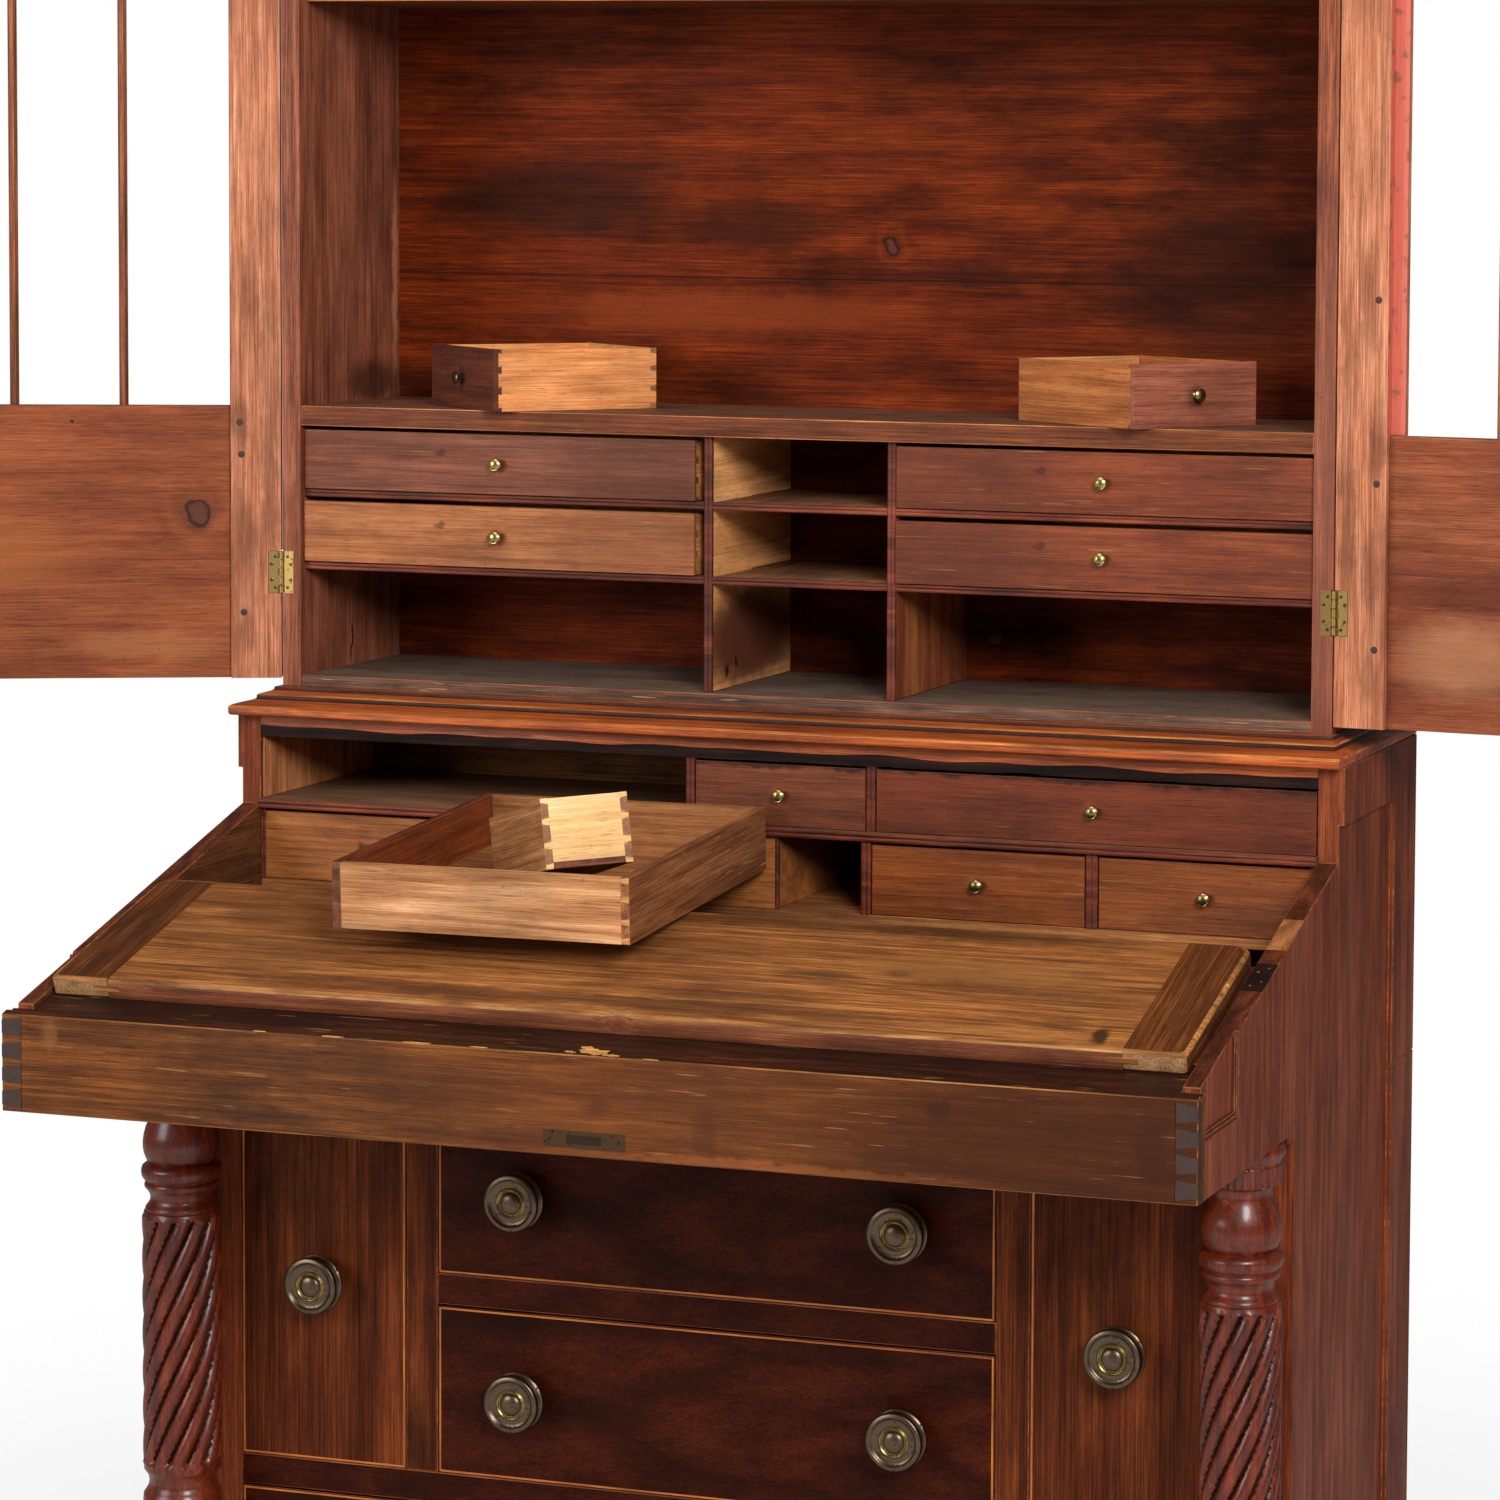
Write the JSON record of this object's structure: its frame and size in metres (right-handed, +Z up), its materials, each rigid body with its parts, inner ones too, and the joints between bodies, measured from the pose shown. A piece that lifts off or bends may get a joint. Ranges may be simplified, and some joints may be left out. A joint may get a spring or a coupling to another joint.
{
  "type": "secretary bookcase",
  "caption": "Two-part mahogany secretary bookcase: open barred doors, shelves and small drawers over a sloped desk, with drawers and spiral columns below.",
  "frame": {"origin": "on the ground, under the middle of the whole object with its doors as they stand open", "axes": "+Z up, +X to the right and +Y to the back, seen from the front"},
  "size_m": [2.0966, 0.6956, 2.1403],
  "materials": {
    "mahogany": "worn varnished mahogany",
    "stained_pine": "stained pine, matt and dusty",
    "pine": "bare pine, aged",
    "cherry": "worn varnished cherry",
    "writing_board": "bare worn board with dark stains",
    "brass": "aged brass"
  },
  "bodies": {
    "case": {"base_board": "mahogany", "book_back": "stained_pine", "book_floor": "stained_pine", "book_shelf": "stained_pine", "book_side_left": "mahogany", "book_side_right": "mahogany", "case_side_left": "mahogany", "case_side_right": "mahogany", "centre_blade": "mahogany", "column_left": "mahogany", "column_right": "mahogany", "cornice": "mahogany", "desk_bottom": "stained_pine", "desk_front_rail": "mahogany", "desk_side_left": "mahogany", "desk_side_right": "mahogany", "low_blade": "mahogany", "lower_back": "stained_pine", "nest_divider_left": "stained_pine", "nest_divider_right": "stained_pine", "nest_shelf_low": "stained_pine", "nest_shelf_top": "stained_pine", "partition_left": "mahogany", "partition_right": "mahogany", "row_one_divider_left": "cherry", "row_one_divider_right": "cherry", "row_one_floor": "cherry", "row_two_divider_left": "cherry", "row_two_divider_right": "cherry", "row_two_facing": "cherry", "row_two_floor": "cherry", "thick_shelf": "stained_pine", "waist_board": "mahogany"},
    "door_left_body": {"door_frame_left": "mahogany", "door_board_left": "stained_pine", "hinge_left_low": "brass", "hinge_left_high": "brass"},
    "door_right_body": {"door_frame_right": "mahogany", "door_board_right": "stained_pine", "hinge_right_low": "brass", "hinge_right_high": "brass"},
    "centre_drawer_top_body": {"centre_drawer_top": "mahogany"},
    "centre_drawer_low_body": {"centre_drawer_low": "mahogany"},
    "side_drawer_left_body": {"side_drawer_left": "mahogany"},
    "side_drawer_right_body": {"side_drawer_right": "mahogany"},
    "long_drawer_body": {"long_drawer": "mahogany"},
    "row_one_drawer_centre_body": {"row_one_drawer_centre": "cherry"},
    "row_one_drawer_right_body": {"row_one_drawer_right": "cherry"},
    "row_two_drawer_left_body": {"row_two_drawer_left": "cherry"},
    "row_two_drawer_middle_body": {"row_two_drawer_middle": "cherry"},
    "row_two_drawer_right_body": {"row_two_drawer_right": "cherry"},
    "nest_drawer_left_top_body": {"nest_drawer_left_top": "stained_pine"},
    "nest_drawer_left_low_body": {"nest_drawer_left_low": "stained_pine"},
    "nest_drawer_right_top_body": {"nest_drawer_right_top": "stained_pine"},
    "nest_drawer_right_low_body": {"nest_drawer_right_low": "stained_pine"},
    "lid_body": {"lid": "writing_board"},
    "loose_big_drawer_body": {"loose_big_drawer": "pine"},
    "loose_small_drawer_body": {"loose_small_drawer": "pine"},
    "loose_drawer_left_body": {"loose_drawer_left": "pine"},
    "loose_drawer_right_body": {"loose_drawer_right": "pine"}
  },
  "joints": [
    {"name": "door_left_hinge", "type": "hinge", "parent": "case", "child": "door_left_body", "pos_m": [-0.55698, 0.12585, 1.512], "axis": [0, 0, -1], "range_deg": [-154.8, 25]},
    {"name": "door_right_hinge", "type": "hinge", "parent": "case", "child": "door_right_body", "pos_m": [0.51502, 0.12585, 1.512], "axis": [0, 0, 1], "range_deg": [-175.4, 4.5]},
    {"name": "centre_drawer_top_slide", "type": "slide", "parent": "case", "child": "centre_drawer_top_body", "axis": [0, -1, 0], "range_m": [0, 0.25]},
    {"name": "centre_drawer_low_slide", "type": "slide", "parent": "case", "child": "centre_drawer_low_body", "axis": [0, -1, 0], "range_m": [0, 0.25]},
    {"name": "side_drawer_left_slide", "type": "slide", "parent": "case", "child": "side_drawer_left_body", "axis": [0, -1, 0], "range_m": [0, 0.25]},
    {"name": "side_drawer_right_slide", "type": "slide", "parent": "case", "child": "side_drawer_right_body", "axis": [0, -1, 0], "range_m": [0, 0.25]},
    {"name": "long_drawer_slide", "type": "slide", "parent": "case", "child": "long_drawer_body", "axis": [0, -1, 0], "range_m": [0, 0.25]},
    {"name": "row_one_drawer_centre_slide", "type": "slide", "parent": "case", "child": "row_one_drawer_centre_body", "axis": [0, -1, 0], "range_m": [0, 0.01]},
    {"name": "row_one_drawer_right_slide", "type": "slide", "parent": "case", "child": "row_one_drawer_right_body", "axis": [0, -1, 0], "range_m": [0, 0.15]},
    {"name": "row_two_drawer_left_slide", "type": "slide", "parent": "case", "child": "row_two_drawer_left_body", "axis": [0, -1, 0], "range_m": [0, 0.15]},
    {"name": "row_two_drawer_middle_slide", "type": "slide", "parent": "case", "child": "row_two_drawer_middle_body", "axis": [0, -1, 0], "range_m": [0, 0.15]},
    {"name": "row_two_drawer_right_slide", "type": "slide", "parent": "case", "child": "row_two_drawer_right_body", "axis": [0, -1, 0], "range_m": [0, 0.15]},
    {"name": "nest_drawer_left_top_slide", "type": "slide", "parent": "case", "child": "nest_drawer_left_top_body", "axis": [0, -1, 0], "range_m": [-0.01, 0.15]},
    {"name": "nest_drawer_left_low_slide", "type": "slide", "parent": "case", "child": "nest_drawer_left_low_body", "axis": [0, -1, 0], "range_m": [-0.01, 0.15]},
    {"name": "nest_drawer_right_top_slide", "type": "slide", "parent": "case", "child": "nest_drawer_right_top_body", "axis": [0, -1, 0], "range_m": [-0.01, 0.15]},
    {"name": "nest_drawer_right_low_slide", "type": "slide", "parent": "case", "child": "nest_drawer_right_low_body", "axis": [0, -1, 0], "range_m": [-0.01, 0.15]},
    {"name": "lid_slide", "type": "slide", "parent": "case", "child": "lid_body", "axis": [0, -0.2932, 0.956], "range_m": [0, 0.12]},
    {"name": "loose_big_drawer_slide", "type": "slide", "parent": "lid_body", "child": "loose_big_drawer_body", "axis": [0, -0.5, 0.866], "range_m": [0, 0.15]},
    {"name": "loose_small_drawer_slide", "type": "slide", "parent": "loose_big_drawer_body", "child": "loose_small_drawer_body", "axis": [0, 0, 1], "range_m": [0, 0.06]},
    {"name": "loose_drawer_left_slide", "type": "slide", "parent": "case", "child": "loose_drawer_left_body", "axis": [0, 0, 1], "range_m": [0, 0.1]},
    {"name": "loose_drawer_right_slide", "type": "slide", "parent": "case", "child": "loose_drawer_right_body", "axis": [0, 0, 1], "range_m": [0, 0.1]}
  ]
}
